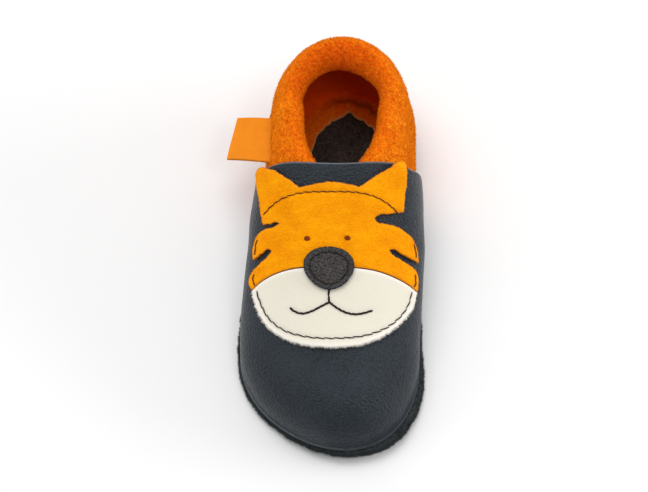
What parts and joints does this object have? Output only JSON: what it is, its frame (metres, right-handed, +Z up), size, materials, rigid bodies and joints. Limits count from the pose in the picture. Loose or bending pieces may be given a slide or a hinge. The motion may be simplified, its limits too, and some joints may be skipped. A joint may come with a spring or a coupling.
{
  "type": "baby crawling shoe",
  "caption": "Soft slip-on baby crawling shoe: suede sole, leather vamp with a sewn-on tiger face, and a gathered suede heel with an elastic collar.",
  "frame": {"origin": "on the floor under the sole, half-way along the sole's length", "axes": "+Y from toe to heel along the sole, +X to the inner (big-toe) side, +Z up"},
  "size_m": [0.0708, 0.1457, 0.0545],
  "materials": {
    "sole_suede": "matt dark suede",
    "insole_suede": "matt dark suede",
    "navy_leather": "smooth grained, soft sheen",
    "orange_suede": "napped suede",
    "yellow_nubuck": "nubuck",
    "cream_leather": "smooth, matt",
    "nose_leather": "fine grained, matt",
    "label_ribbon": "woven ribbon"
  },
  "bodies": {
    "root": {"sole": "sole_suede", "insole": "insole_suede", "vamp": "navy_leather", "heel_quarter": "orange_suede", "tiger_mask": "yellow_nubuck", "muzzle": "cream_leather", "nose": "nose_leather", "side_label": "label_ribbon"}
  },
  "joints": []
}
